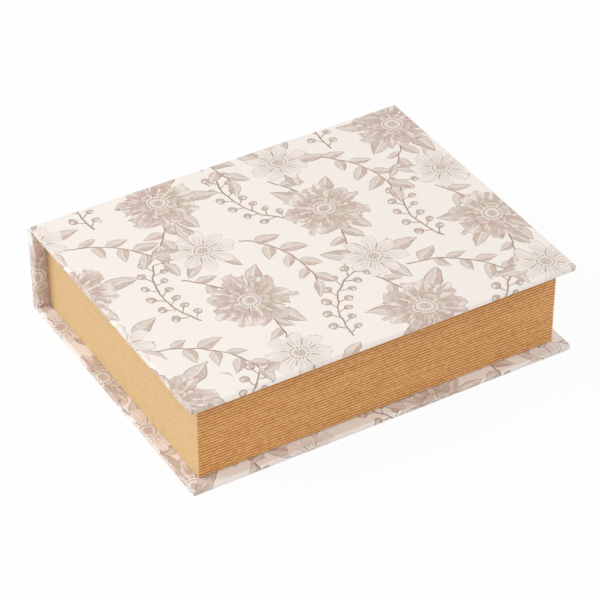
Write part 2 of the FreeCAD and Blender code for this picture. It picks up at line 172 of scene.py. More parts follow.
# A point's place along a curved stem and away from it, in millimetres, its step from leaf to leaf, its place
# within that step, whether the step lies within the stem's reach, and the ink of the stem itself. The steps
# on one side come half-way between those on the other, and each starts a little before its leaf.
STEM_HALF = 0.3
LEAF_START = 1.2
stem_way, into = new_group(
    "stem_way", {"Local": "Vector", "Turn": "Float", "Bend": "Float", "Pitch": "Float", "Reach": "Float"},
    {"Along": "Float", "Off": "Float", "Step": "Vector", "Run": "Vector", "Alive": "Float",
     "Stem": "Vector"})
turned = add(stem_way, "VectorRotate", into["Local"], None, into["Turn"], rotation_type="Z_AXIS")
centre = add(stem_way, "CombineXYZ", 0.0, into["Bend"], 0.0)
spoke = add(stem_way, "VectorMath", turned, centre, operation="ADD")
at = add(stem_way, "SeparateXYZ", spoke).outputs
angle = add(stem_way, "Math", at["X"], at["Y"], operation="ARCTAN2")
along = add(stem_way, "Math", angle, into["Bend"], operation="MULTIPLY")
radius = add(stem_way, "VectorMath", spoke, operation="LENGTH")
off = add(stem_way, "Math", radius, into["Bend"], operation="SUBTRACT")
away = add(stem_way, "Math", off, operation="ABSOLUTE")
upper = add(stem_way, "Math", off, 0.0, operation="GREATER_THAN")
steps = add(stem_way, "Math", along, into["Pitch"], operation="DIVIDE")
steps = add(stem_way, "Math", upper, 0.5, steps, operation="MULTIPLY_ADD")
index = add(stem_way, "Math", steps, operation="FLOOR")
run = add(stem_way, "Math", steps, operation="FRACT")
run = add(stem_way, "Math", run, into["Pitch"], -LEAF_START, operation="MULTIPLY_ADD")
start = add(stem_way, "Math", upper, -0.5, index, operation="MULTIPLY_ADD")
start = add(stem_way, "Math", start, into["Pitch"], operation="MULTIPLY")
start = add(stem_way, "Math", start, operation="ABSOLUTE")
alive = add(stem_way, "Math", start, into["Reach"], operation="LESS_THAN")
inside = add(stem_way, "Math", along, operation="ABSOLUTE")
inside = add(stem_way, "Math", inside, into["Reach"], operation="LESS_THAN")
stem = add(stem_way, "MapRange", away, STEM_HALF, 2 * STEM_HALF, 1.0, 0.0)
stem = add(stem_way, "Math", stem, inside, operation="MULTIPLY")
stem = add(stem_way, "CombineXYZ", stem, stem, stem)
step = add(stem_way, "CombineXYZ", index, upper, 0.0)
run = add(stem_way, "CombineXYZ", run, away, 0.0)
add(stem_way, "NodeGroupOutput", along, off, step, run, alive, stem)

# A sprig: a thin curved stem, leaves on either side in turn and one at the tip.
sprig, into = new_group(
    "sprig",
    {"Local": "Vector", "Turn": "Float", "Seed": "Vector", "Bend": "Float", "Reach": "Float",
     "Leaf": "Float"},
    {"Ink": "Vector"})
way = add(sprig, "Group", into["Local"], into["Turn"], into["Bend"], into["Leaf"], into["Reach"],
          node_tree=stem_way).outputs
seed = add(sprig, "VectorMath", way["Step"], into["Seed"], operation="ADD")
luck = add(sprig, "TexWhiteNoise", seed).outputs["Value"]
size = add(sprig, "MapRange", luck, 0.0, 1.0, 1.3, 0.92)
size = add(sprig, "Math", size, into["Leaf"], operation="DIVIDE")
lean = add(sprig, "MapRange", luck, 0.0, 1.0, -0.68, -0.98)
point = add(sprig, "VectorRotate", way["Run"], None, lean, rotation_type="Z_AXIS")
point = add(sprig, "VectorMath", point, size, operation="SCALE")
leaves = add(sprig, "Group", point, 0.26, node_tree=leaf)
leaves = add(sprig, "VectorMath", leaves, way["Alive"], operation="SCALE")
past = add(sprig, "Math", way["Along"], into["Reach"], operation="SUBTRACT")
tip = add(sprig, "CombineXYZ", past, way["Off"], 0.0)
size = add(sprig, "Math", 1.0, into["Leaf"], operation="DIVIDE")
tip = add(sprig, "VectorMath", tip, size, operation="SCALE")
tip = add(sprig, "Group", tip, 0.22, node_tree=leaf)
ink = add(sprig, "VectorMath", leaves, way["Stem"], operation="MAXIMUM")
add(sprig, "NodeGroupOutput", add(sprig, "VectorMath", ink, tip, operation="MAXIMUM"))

# A twig of berries on short stalks, each with a pale light on it. Sizes and places are in millimetres.
BERRY_PITCH = 9.5
BERRY_RADIUS = 2.5
BERRY_PLACE = (4.4, 6.0, 0.0)
LIGHT_PLACE = (3.8, 6.9, 0.0)
STALK_LEAN = 0.72
STALK_LENGTH = 5.0
twig, into = new_group(
    "twig", {"Local": "Vector", "Turn": "Float", "Bend": "Float", "Reach": "Float"}, {"Ink": "Vector"})
way = add(twig, "Group", into["Local"], into["Turn"], into["Bend"], BERRY_PITCH, into["Reach"],
          node_tree=stem_way).outputs
berry = add(twig, "VectorMath", way["Run"], BERRY_PLACE, operation="DISTANCE")
cover = add(twig, "MapRange", berry, BERRY_RADIUS, 0.9 * BERRY_RADIUS, 0.0, 1.0)
rim = add(twig, "MapRange", berry, 0.72 * BERRY_RADIUS, 0.82 * BERRY_RADIUS, 0.0, 1.0)
light = add(twig, "VectorMath", way["Run"], LIGHT_PLACE, operation="DISTANCE")
wash = add(twig, "MapRange", light, 0.4, 1.2, 0.05, 0.95)
at = add(twig, "SeparateXYZ", way["Run"]).outputs
stalk = add(twig, "Math", at["Y"], -STALK_LEAN, at["X"], operation="MULTIPLY_ADD")
stalk = add(twig, "Math", stalk, operation="ABSOLUTE")
stalk = add(twig, "MapRange", stalk, 0.25, 0.5, 1.0, 0.0)
short = add(twig, "Math", at["Y"], STALK_LENGTH, operation="LESS_THAN")
stalk = add(twig, "Math", stalk, short, operation="MULTIPLY")
berries = add(twig, "CombineXYZ", wash, rim, 1.0)
berries = add(twig, "VectorMath", berries, cover, operation="SCALE")
stalks = add(twig, "CombineXYZ", stalk, stalk, stalk)
berries = add(twig, "VectorMath", berries, stalks, operation="MAXIMUM")
berries = add(twig, "VectorMath", berries, way["Alive"], operation="SCALE")
add(twig, "NodeGroupOutput", add(twig, "VectorMath", berries, way["Stem"], operation="MAXIMUM"))

# Leaves set round a flower like spokes, each a little longer or shorter and to one side by chance, and some
# left out.
leaf_ring, into = new_group(
    "leaf_ring", {"Local": "Vector", "Turn": "Float", "Count": "Float", "Inner": "Float", "Leaf": "Float"},
    {"Ink": "Vector"})
turned = add(leaf_ring, "VectorRotate", into["Local"], None, into["Turn"], rotation_type="Z_AXIS")
at = add(leaf_ring, "SeparateXYZ", turned).outputs
angle = add(leaf_ring, "Math", at["Y"], at["X"], operation="ARCTAN2")
sector = add(leaf_ring, "Math", math.tau, into["Count"], operation="DIVIDE")
beat = add(leaf_ring, "Math", angle, sector, operation="DIVIDE")
luck = add(leaf_ring, "Math", beat, operation="FLOOR")
luck = add(leaf_ring, "CombineXYZ", luck, into["Turn"], 0.0)
luck = add(leaf_ring, "TexWhiteNoise", luck).outputs["Value"]
lean = add(leaf_ring, "MapRange", luck, 0.0, 1.0, 0.36, 0.64)
share = add(leaf_ring, "Math", beat, operation="FRACT")
share = add(leaf_ring, "Math", share, lean, operation="SUBTRACT")
share = add(leaf_ring, "Math", share, sector, operation="MULTIPLY")
radius = add(leaf_ring, "VectorMath", turned, operation="LENGTH")
point = add(leaf_ring, "CombineXYZ", radius, 0.0, 0.0)
point = add(leaf_ring, "VectorRotate", point, None, share, rotation_type="Z_AXIS")
root = add(leaf_ring, "CombineXYZ", into["Inner"], 0.0, 0.0)
point = add(leaf_ring, "VectorMath", point, root, operation="SUBTRACT")
size = add(leaf_ring, "MapRange", luck, 0.0, 1.0, 1.35, 0.9)
size = add(leaf_ring, "Math", size, into["Leaf"], operation="DIVIDE")
point = add(leaf_ring, "VectorMath", point, size, operation="SCALE")
leaves = add(leaf_ring, "Group", point, 0.25, node_tree=leaf)
kept = add(leaf_ring, "Math", luck, 0.3, operation="GREATER_THAN")
add(leaf_ring, "NodeGroupOutput", add(leaf_ring, "VectorMath", leaves, kept, operation="SCALE"))

# One ring of petals: a drawn outline, creases between the petals, two fine veins in each, and a brushed
# wash that grows paler to the tips.
petal_ring, into = new_group(
    "petal_ring",
    {"Radius": "Float", "Angle": "Float", "Ruffle": "Float", "Brush": "Float", "Half count": "Float",
     "Phase": "Float", "Reach": "Float", "Gap": "Float", "Wash": "Float"},
    {"Ink": "Vector"})
swing = add(petal_ring, "Math", into["Angle"], into["Half count"], into["Phase"], operation="MULTIPLY_ADD")
fan = add(petal_ring, "Math", swing, 3.0, operation="MULTIPLY")
swing = add(petal_ring, "Math", swing, operation="SINE")
swing = add(petal_ring, "Math", swing, operation="ABSOLUTE")
fan = add(petal_ring, "Math", fan, operation="SINE")
fan = add(petal_ring, "Math", fan, operation="ABSOLUTE")
rounded = add(petal_ring, "Math", swing, 0.5, operation="POWER")
low = add(petal_ring, "Math", 1.0, into["Gap"], operation="SUBTRACT")
outline = add(petal_ring, "Math", rounded, into["Gap"], low, operation="MULTIPLY_ADD")
outline = add(petal_ring, "Math", outline, into["Reach"], operation="MULTIPLY")
outline = add(petal_ring, "Math", outline, into["Ruffle"], operation="MULTIPLY")
inset = add(petal_ring, "Math", outline, into["Radius"], operation="SUBTRACT")
cover = add(petal_ring, "MapRange", inset, 0.0, 0.3, 0.0, 1.0)
rim = add(petal_ring, "MapRange", inset, 0.45, 0.8, 1.0, 0.0)
arc = add(petal_ring, "Math", into["Radius"], into["Half count"], operation="DIVIDE")
crease = add(petal_ring, "Math", swing, arc, operation="MULTIPLY")
crease = add(petal_ring, "MapRange", crease, 0.25, 0.55, 1.0, 0.0)
vein = add(petal_ring, "Math", fan, arc, operation="MULTIPLY")
vein = add(petal_ring, "MapRange", vein, 0.3, 0.7, 0.7, 0.0)
depth = add(petal_ring, "Math", into["Radius"], into["Reach"], operation="DIVIDE")
short = add(petal_ring, "MapRange", depth, 0.5, 0.75, 1.0, 0.0)
vein = add(petal_ring, "Math", vein, short, operation="MULTIPLY")
line = add(petal_ring, "Math", rim, crease, operation="MAXIMUM")
line = add(petal_ring, "Math", line, vein, operation="MAXIMUM")
line = add(petal_ring, "Math", line, cover, operation="MULTIPLY")
tip = add(petal_ring, "MapRange", depth, 0.55, 1.0, 1.0, 0.6)
strokes = add(petal_ring, "MapRange", into["Brush"], 0.38, 0.5, 0.25, 1.0)
wash = add(petal_ring, "Math", tip, strokes, operation="MULTIPLY")
wash = add(petal_ring, "Math", wash, into["Wash"], operation="MULTIPLY")
wash = add(petal_ring, "Math", wash, cover, operation="MULTIPLY")
add(petal_ring, "NodeGroupOutput", add(petal_ring, "CombineXYZ", wash, line, cover))

# A whole flower's sizes in millimetres: the waves of its ruffled edge, the length of its brush strokes and
# the beads of its button. A larger STROKES_ROUND gives it more and finer strokes.
RUFFLE_WAVE = 6.25
STROKE_LENGTH = 11.11
STROKES_ROUND = 7.0
BEAD = 1.111


def flower_group(name, rings, button, stamens, stamen_reach):
    """A flower of petal rings from the back to the front, with a button and a ring of stamens."""
    tree, into = new_group(name, {"Local": "Vector", "Turn": "Float"}, {"Ink": "Vector"})
    turned = add(tree, "VectorRotate", into["Local"], None, into["Turn"], rotation_type="Z_AXIS")
    at = add(tree, "SeparateXYZ", turned).outputs
    radius = add(tree, "VectorMath", turned, operation="LENGTH")
    angle = add(tree, "Math", at["Y"], at["X"], operation="ARCTAN2")
    ruffle = add(tree, "TexNoise", turned, 1 / RUFFLE_WAVE, 2.0, noise_dimensions="2D")
    ruffle = add(tree, "MapRange", ruffle, 0.25, 0.75, 0.86, 1.14)
    way = add(tree, "VectorMath", turned, operation="NORMALIZE")
    way = add(tree, "VectorMath", way, (STROKES_ROUND, STROKES_ROUND, 0.0), operation="MULTIPLY")
    lift = add(tree, "Math", radius, 1 / STROKE_LENGTH, operation="MULTIPLY")
    lift = add(tree, "CombineXYZ", 0.0, 0.0, lift)
    brush = add(tree, "TexNoise", add(tree, "VectorMath", way, lift, operation="ADD"), 1.0, 2.0, 0.6)
    ink = add(tree, "CombineXYZ", 0.0, 0.0, 0.0)
    for half_count, phase, painted_level, gap, strength in rings:
        ring = add(tree, "Group", radius, angle, ruffle, brush, half_count, phase, painted_level, gap, strength,
                   node_tree=petal_ring)
        ink = add(tree, "Mix", add(tree, "SeparateXYZ", ring).outputs["Z"], ink, ring, data_type="VECTOR")
    beat = add(tree, "Math", angle, stamens / math.tau, operation="MULTIPLY")
    beat = add(tree, "Math", beat, 0.5, operation="PINGPONG")
    beat = add(tree, "Math", beat, math.tau / stamens, operation="MULTIPLY")
    sideways = add(tree, "Math", beat, radius, operation="MULTIPLY")
    outward = add(tree, "Math", radius, stamen_reach, operation="SUBTRACT")
    dot = add(tree, "VectorMath", add(tree, "CombineXYZ", sideways, outward, 0.0), operation="LENGTH")
    dot = add(tree, "MapRange", dot, 0.5, 0.75, 1.0, 0.0)
    thread = add(tree, "MapRange", sideways, 0.08, 0.22, 0.8, 0.0)
    within = add(tree, "Math", outward, 0.0, operation="LESS_THAN")
    thread = add(tree, "Math", thread, within, operation="MULTIPLY")
    disc = add(tree, "MapRange", radius, button - 0.3, button, 1.0, 0.0)
    bead = add(tree, "TexVoronoi", turned, 1 / BEAD, voronoi_dimensions="2D")
    bead = add(tree, "MapRange", bead, 0.2, 0.5, 0.3, 1.0)
    line = add(tree, "Math", dot, thread, operation="MAXIMUM")
    line = add(tree, "Mix", disc, line, 0.25)
    wash = add(tree, "Mix", disc, 0.1, bead)
    heart = add(tree, "MapRange", radius, stamen_reach + 0.9, stamen_reach + 1.6, 1.0, 0.0)
    ink = add(tree, "Mix", heart, ink, add(tree, "CombineXYZ", wash, line, 1.0), data_type="VECTOR")
    add(tree, "NodeGroupOutput", ink)
    return tree


# Each ring gives half its number of petals, its turn, its reach in millimetres, the depth of the gaps between
# its petals and the strength of its wash.
bloom = flower_group(
    "bloom", ((3.5, 0.0, 24.0, 0.34, 1.05), (3.0, 1.1, 18.0, 0.36, 1.25), (2.5, 0.4, 12.0, 0.4, 1.05)),
    button=2.8, stamens=22, stamen_reach=5.2)
open_flower = flower_group(
    "open_flower", ((4.0, 0.3, 18.5, 0.5, 0.3),), button=3.2, stamens=18, stamen_reach=5.0)

# Printed paper: a matt, faintly toothed cream paper with flowers and leaves in taupe line and wash, uneven
# as watercolour is. Sizes are in millimetres, and the tooth is drawn coarser than it is, so that it shows.
PRINT_REPEAT = (78.0, 104.0, 1.0)
HAND_WAVE = 9.09
HAND_DRIFT = 2.4
WATER_GRAIN = 3.333
BLUSH_GRAIN = 22.22
TOOTH_GRAIN = 0.625
FULL_TURN = 6.28
printed_paper, tree = new_material("printed_paper")
flat = add(tree, "UVMap", uv_map="flat_sheet")
flat = add(tree, "VectorMath", flat, (1000, 1000, 0), operation="MULTIPLY")
tremble = add(tree, "TexNoise", flat, 1 / HAND_WAVE, 1.0, noise_dimensions="2D").outputs["Color"]
tremble = add(tree, "VectorMath", tremble, (0.5, 0.5, 0.5), operation="SUBTRACT")
hand = add(tree, "VectorMath", tremble, (HAND_DRIFT, HAND_DRIFT, 0.0), flat, operation="MULTIPLY_ADD")
# Four lots of cells, one for each kind of motif, set apart from each other within the repeat.
cells = {}
for name, shift in (("bloom", (0.12, 0.38, 0.0)), ("flower", (0.12, 0.88, 0.0)),
                    ("sprig", (0.62, 0.63, 0.0)), ("twig", (0.62, 0.13, 0.0))):
    lot = add(tree, "Group", hand, PRINT_REPEAT, shift, node_tree=half_drop).outputs
    luck = add(tree, "SeparateXYZ", lot["Chance"]).outputs
    cells[name] = lot["Local"], lot["Chance"], luck["X"], luck["Y"]
# The motifs from the back to the front: their lot of cells, their group, the range of their turn, and the
# group's other sizes: bend, reach and leaf, or the number of leaves, their inner radius and their length.
ink = None
for name, group, low, high, values in (
        ("twig", twig, -1.9, -1.0, (48.0, 30.0)),
        ("sprig", sprig, 0.5, 1.3, (52.0, 30.0, 15.0)),
        ("flower", sprig, -0.5, 0.5, (-46.0, 30.0, 13.0)),
        ("bloom", sprig, 1.2, 1.9, (70.0, 42.0, 14.0)),
        ("flower", leaf_ring, 0.0, FULL_TURN, (5.0, 11.0, 19.0)),
        ("bloom", leaf_ring, 0.0, FULL_TURN, (6.0, 15.0, 21.0)),
        ("flower", open_flower, 0.0, FULL_TURN, ()),
        ("bloom", bloom, 0.0, FULL_TURN, ())):
    local, chance, luck, other = cells[name]
    turn = add(tree, "MapRange", other if group is leaf_ring else luck, 0.0, 1.0, low, high)
    seed = (chance,) if group is sprig else ()
    motif = add(tree, "Group", local, turn, *seed, *values, node_tree=group)
    cover = add(tree, "SeparateXYZ", motif).outputs["Z"]
    ink = motif if ink is None else add(tree, "Mix", cover, ink, motif, data_type="VECTOR")
ink = add(tree, "SeparateXYZ", ink).outputs
water = add(tree, "TexNoise", flat, 1 / WATER_GRAIN, 3.0, 0.6, noise_dimensions="2D")
water = add(tree, "MapRange", water, 0.3, 0.7, 0.72, 1.1)
wash = add(tree, "Math", ink["X"], water, operation="MULTIPLY")
line = add(tree, "Math", ink["Y"], 0.72, operation="MULTIPLY")
blush = add(tree, "TexNoise", flat, 1 / BLUSH_GRAIN, 1.0, noise_dimensions="2D")
blush = add(tree, "MapRange", blush, 0.38, 0.62, 0.0, 1.0)
taupe = add(tree, "Mix", blush, linear("#C9B5A3"), linear("#CBB0A4"), data_type="RGBA")
colour = add(tree, "Mix", wash, linear("#F7EFE8"), taupe, data_type="RGBA")
colour = add(tree, "Mix", line, colour, linear("#97806F"), data_type="RGBA")
tooth = add(tree, "TexNoise", flat, 1 / TOOTH_GRAIN, 2.0, noise_dimensions="2D")
relief = add(tree, "Bump", 0.12, 0.0001, None, tooth)
add(tree, "OutputMaterial", add(tree, "BsdfPrincipled", colour, 0.0, 0.62, 1.45, 1.0, relief))

# The paper and its folds in metres, the angles past which an edge is rounded or stays sharp, and how nearly a
# face looks one way: mostly, or wholly.
PAPER = 0.00025
TURN_IN = 0.015
MITRE_GAP = 0.0003
CORNER_RADIUS = 0.0013
ARRIS_RADIUS = 0.0009
ARRIS_ANGLE = 1.2
SHARP_ANGLE = math.radians(32)
MOSTLY = 0.5
WHOLLY = 0.999
CUT_SNAP = 1e-7


def new_piece(name, mesh, material):
    """An object from a finished bmesh, smooth except at its sharp edges."""
    data = bpy.data.meshes.new(name)
    mesh.to_mesh(data)
    mesh.free()
    data.shade_smooth()
    data.set_sharp_from_angle(angle=SHARP_ANGLE)
    data.materials.append(material)
    piece = bpy.data.objects.new(name, data)
    bpy.context.collection.objects.link(piece)
    return piece


def covered_panel(name, size, place, flat_x, flat_start, flat_way, has_fore):
    """Paper round a board that lies from y = 0, outer face up at z = 0, before place moves it."""
    length, across, thick = size
    end = length / 2
    mesh = bmesh.new()
    bmesh.ops.create_cube(mesh, size=1.0)
    bmesh.ops.scale(mesh, vec=size, verts=mesh.verts)
    bmesh.ops.translate(mesh, vec=(0, across / 2, -thick / 2), verts=mesh.verts)
    cut_ends = [f for f in mesh.faces
                if f.normal.y > MOSTLY or (f.normal.y < -MOSTLY and not has_fore)]
    bmesh.ops.delete(mesh, geom=cut_ends, context="FACES_ONLY")
    if has_fore:
        corners = [e for e in mesh.edges
                   if e.is_manifold and abs(e.verts[0].co.z - e.verts[1].co.z) > thick / 2]
        bmesh.ops.bevel(mesh, geom=corners, offset=CORNER_RADIUS, segments=5, profile=0.5, affect="EDGES",
                        material=-1)
    arrises = [e for e in mesh.edges if e.is_manifold and e.calc_face_angle() > ARRIS_ANGLE]
    bmesh.ops.bevel(mesh, geom=arrises, offset=ARRIS_RADIUS, segments=4, profile=0.5, affect="EDGES",
                    material=-1)
    # The inner side: cut along the turn-ins' edges and the mitres, and take out what lies between.
    half_gap = MITRE_GAP / 2 * math.sqrt(2)
    cuts = [((x * (end - TURN_IN), 0, 0), (1, 0, 0)) for x in (-1, 1)]
    if has_fore:
        cuts.append(((0, TURN_IN, 0), (0, 1, 0)))
        for x in (-1, 1):
            for gap in (-1, 1):
                cuts.append(((x * end, gap * half_gap, 0), (x, 1, 0)))
    for spot, way in cuts:
        inner = [f for f in mesh.faces if f.normal.z < -WHOLLY]
        geom = {*inner, *(e for f in inner for e in f.edges), *(v for f in inner for v in f.verts)}
        bmesh.ops.bisect_plane(mesh, geom=list(geom), plane_co=spot, plane_no=way, dist=CUT_SNAP)
    gone = []
    for face in mesh.faces:
        middle = face.calc_center_median()
        if face.normal.z < -WHOLLY:
            mitre = abs(middle.x) + middle.y - end
            in_window = abs(middle.x) < end - TURN_IN and (middle.y > TURN_IN or not has_fore)
            in_gap = has_fore and middle.y < TURN_IN and abs(mitre) < half_gap
            if in_window or in_gap:
                gone.append(face)
    bmesh.ops.delete(mesh, geom=gone, context="FACES")
    # The flat sheet: each face is unfolded about the edges of the outer face.
    layer = mesh.loops.layers.uv.new("flat_sheet")
    for face in mesh.faces:
        middle = face.calc_center_median()
        to_fore = has_fore and abs(middle.x) + middle.y < end
        for loop in face.loops:
            x, y, z = loop.vert.co
            way = math.copysign(1.0, x)
            if face.normal.z < -MOSTLY and to_fore:
                y = -thick - y
            elif face.normal.z < -MOSTLY:
                x = way * (length + thick) - x
            elif face.normal.y < -MOSTLY:
                y += z
            elif abs(face.normal.x) > MOSTLY:
                x -= way * z
            loop[layer].uv = flat_x * x, flat_start + flat_way * y
    bmesh.ops.solidify(mesh, geom=mesh.faces[:], thickness=PAPER)
    bmesh.ops.transform(mesh, matrix=place, verts=mesh.verts)
    return new_piece(name, mesh, printed_paper)


lid_low, lid_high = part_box("lid_cover_sheet")
base_low, base_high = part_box("base_cover_sheet")
spine_low, spine_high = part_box("spine_cover_sheet")
lid_size = lid_high - lid_low
base_size = base_high - base_low
# The way over the flat sheet runs from the lid's fore edge over the lid hinge, the spine and the base hinge
# to the base's fore edge.
LID_HINGE_RUN = 0.0073
BASE_HINGE_RUN = 0.0054
SPINE_START = lid_size.y + LID_HINGE_RUN
BASE_END = SPINE_START + (spine_high.z - spine_low.z) + BASE_HINGE_RUN + base_size.y
base_place = Matrix.Translation((0, base_low.y, base_low.z)) @ Matrix.Rotation(math.pi, 4, "Y")
base_paper = covered_panel(
    "base_paper", base_size, base_place, flat_x=-1.0, flat_start=BASE_END, flat_way=-1.0, has_fore=True)
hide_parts("base_cover_sheet")
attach(base_paper, "box")

# The base's paper hinge: the stretch of the same sheet between the base and the spine. It is creased twice,
# pasted at both edges and open between, and its ends are tucked in at head and tail.
CREASE_LAND = 0.0008
CREASE_RADIUS = 0.00058
CREASE_CUTS = 7
BROAD_EDGE = 0.001
MERGE = 1e-6


def hinge_paper(name, profile, flat_start, flat_way):
    """A creased strip of the covering paper along the outer profile, given as (y, z) from the panel."""
    end = lid_high.x
    mesh = bmesh.new()
    chain = [mesh.verts.new((-end, y, z)) for y, z in profile]
    edges = [mesh.edges.new(pair) for pair in zip(chain, chain[1:])]
    spread = bmesh.ops.extrude_edge_only(mesh, edges=edges)["geom"]
    far = [v for v in spread if isinstance(v, bmesh.types.BMVert)]
    bmesh.ops.translate(mesh, vec=(2 * end, 0, 0), verts=far)
    creases = [e for e in mesh.edges if e.is_manifold]
    bmesh.ops.bevel(mesh, geom=creases, offset=CREASE_RADIUS, segments=4, profile=0.5, affect="EDGES",
                    material=-1)
    broad = [e for e in mesh.edges if e.is_boundary and abs(e.verts[0].co.x - e.verts[1].co.x) < MERGE
             and e.calc_length() > BROAD_EDGE]
    bmesh.ops.subdivide_edges(mesh, edges=broad, cuts=CREASE_CUTS, use_grid_fill=True)
    (first_y, first_z), (last_y, last_z) = profile[0], profile[-1]
    # The tucked ends close the space behind the creases.
    for side in (-1, 1):
        rim = [e for e in mesh.edges if all(v.co.x * side > end - MERGE for v in e.verts)]
        root = mesh.verts.new((side * end, first_y, last_z))
        tips = [v for e in rim for v in e.verts if sum(v in other.verts for other in rim) == 1]
        rim += [mesh.edges.new((root, tip)) for tip in tips]
        bmesh.ops.edgeloop_fill(mesh, edges=rim)
    mesh.normal_update()
    outward = {f: Vector((f.calc_center_median().x, 0, 0)) if abs(f.normal.x) > MOSTLY
               else Vector((0, 1, math.copysign(1, first_z - lid_high.z / 2))) for f in mesh.faces}
    bmesh.ops.reverse_faces(mesh, faces=[f for f in mesh.faces if f.normal.dot(outward[f]) < 0])
    layer = mesh.loops.layers.uv.new("flat_sheet")
    for face in mesh.faces:
        for loop in face.loops:
            x, y, z = loop.vert.co
            run = (abs(y - first_y) + abs(z - first_z)) / (abs(last_y - first_y) + abs(last_z - first_z))
            loop[layer].uv = x, flat_start + flat_way * run
    bmesh.ops.solidify(mesh, geom=mesh.faces[:], thickness=PAPER)
    return new_piece(name, mesh, printed_paper)


hinge_low, hinge_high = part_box("base_hinge_sheet")
base_hinge = hinge_paper(
    "base_hinge_paper",
    [(hinge_low.y, hinge_low.z), (hinge_low.y + CREASE_LAND, hinge_low.z),
     (hinge_high.y, hinge_low.z + (hinge_high.y - hinge_low.y) - CREASE_LAND), (hinge_high.y, hinge_high.z)],
    BASE_END - base_size.y, -BASE_HINGE_RUN)
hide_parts("base_hinge_sheet")
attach(base_hinge, "box")

# The spine: the same printed paper, pasted as a sleeve round the two laminated strips of board and turned in
# at head and tail.
spine_size = spine_high - spine_low
spine_place = Matrix.Translation((0, spine_high.y, spine_high.z)) @ Matrix.Rotation(-math.pi / 2, 4, "X")
spine_paper = covered_panel(
    "spine_paper", (spine_size.x, spine_size.z, spine_size.y), spine_place, flat_x=1.0,
    flat_start=SPINE_START, flat_way=1.0, has_fore=False)
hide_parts("spine_cover_sheet")
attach(spine_paper, "box")

# The lid's covering paper: the first part of the sheet, pasted over the lid board with its print upwards.
# It is turned in on three sides and mitred at the fore corners, as the base's is.
lid_place = Matrix.Translation((0, lid_low.y, lid_high.z))
lid_paper = covered_panel(
    "lid_paper", lid_size, lid_place, flat_x=1.0, flat_start=0.0, flat_way=1.0, has_fore=True)
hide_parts("lid_cover_sheet")
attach(lid_paper, "lid")

# The lid's paper hinge: the stretch of the sheet between the lid and the spine. It is creased along both.
hinge_low, hinge_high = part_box("lid_hinge_sheet")
lid_hinge = hinge_paper(
    "lid_hinge_paper",
    [(hinge_low.y, hinge_high.z), (hinge_low.y + CREASE_LAND, hinge_high.z),
     (hinge_high.y, hinge_low.z + CREASE_LAND), (hinge_high.y, hinge_low.z)],
    lid_size.y, LID_HINGE_RUN)
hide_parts("lid_hinge_sheet")
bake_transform(lid_hinge)

# The page-edge paper round the tray: gold-coloured ribbed paper, pasted round the four walls and folded
# over their top edge, with a flap inside, so that the closed box looks like a block of gilt pages.
RIB_COUNT = 27
RIB_DEPTH = 0.0006
RIB_GROOVE = 0.0003
RIB_STEPS = 8
PAGE_PAPER = 0.00025
PAGE_TURN_IN = 0.012
PAGE_FOLD = 0.0006
page_low, page_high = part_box("page_edge_paper")
wall_low, wall_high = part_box("tray_front_wall")
pitch = (page_high.z - page_low.z) / RIB_COUNT

# Ribbed gold paper: a satin gold coat on brown paper, flecked along the ribs and paler at a slant. The
# bottoms of the grooves and the undersides of the ribs are painted dark brown as shade, which reads as the
# dark lines between leaves; on the two short sides the coat is painted paler and more even, as a painted
# sheen. The level attribute on each point is 1 on a crest, 1.5 on the painted-pale short sides, 0 or less in
# the painted shade of grooves and undersides, and less still at the foot of the long sides, where a painted
# shadow lies
# along the ledge. Grain is in millimetres: a streak and a fleck are that long, and the fine tooth is drawn
# coarser than it is, so that it shows.
UNDERSIDE_SHADE = 0.8
PALE_END_LEVEL = 1.5
END_SHADE_SHARE = 0.4
FOOT_SHADE = 3.0
STREAK_GRAIN = 45.45
FLECK_GRAIN = 2.6316
FLECKS_PER_RIB = 3
FINE_GRAIN = (3.3333, 3.3333, 0.33333)
gold_paper, tree = new_material("ribbed_gold_paper")
spot = add(tree, "TexCoord").outputs["Object"]
streak_scale = (1000 / STREAK_GRAIN, 1000 / STREAK_GRAIN, 1 / pitch)
streak_way = add(tree, "VectorMath", spot, streak_scale, operation="MULTIPLY")
streak = add(tree, "TexNoise", streak_way, 1.0, 3.0, 0.6)
fleck_scale = (1000 / FLECK_GRAIN, 1000 / FLECK_GRAIN, FLECKS_PER_RIB / pitch)
fleck_way = add(tree, "VectorMath", spot, fleck_scale, operation="MULTIPLY")
fleck = add(tree, "TexNoise", fleck_way, 1.0, 2.0, 0.6)
tone = add(tree, "MapRange", fleck, 0.35, 0.65, 0.0, 1.0)
coat = add(tree, "Mix", tone, linear("#D3964D"), linear("#F5BF81"), data_type="RGBA")
painted_light_node = add(tree, "Attribute", attribute_name="painted_light_level").outputs["Fac"]
# Painted sheen: the coat on the two short sides is painted paler and more even (#D2B67E).
pale_ends = add(tree, "MapRange", painted_light_node, 1.0, PALE_END_LEVEL, 0.0, 1.0)
coat = add(tree, "Mix", pale_ends, coat, linear("#D2B67E"), data_type="RGBA")
# Painted shade: the grooves' bottoms and the ribs' undersides are painted dark brown (#A8590C), stronger or
# weaker in streaks along the ribs.
groove_shade = add(tree, "MapRange", painted_light_node, 0.1, 0.65, 1.0, 0.0)
shade_streak = add(tree, "MapRange", streak, 0.35, 0.65, 1.0, 0.35)
painted_shade = add(tree, "Math", groove_shade, shade_streak, operation="MULTIPLY")
colour = add(tree, "Mix", painted_shade, coat, linear("#A8590C"), data_type="RGBA")
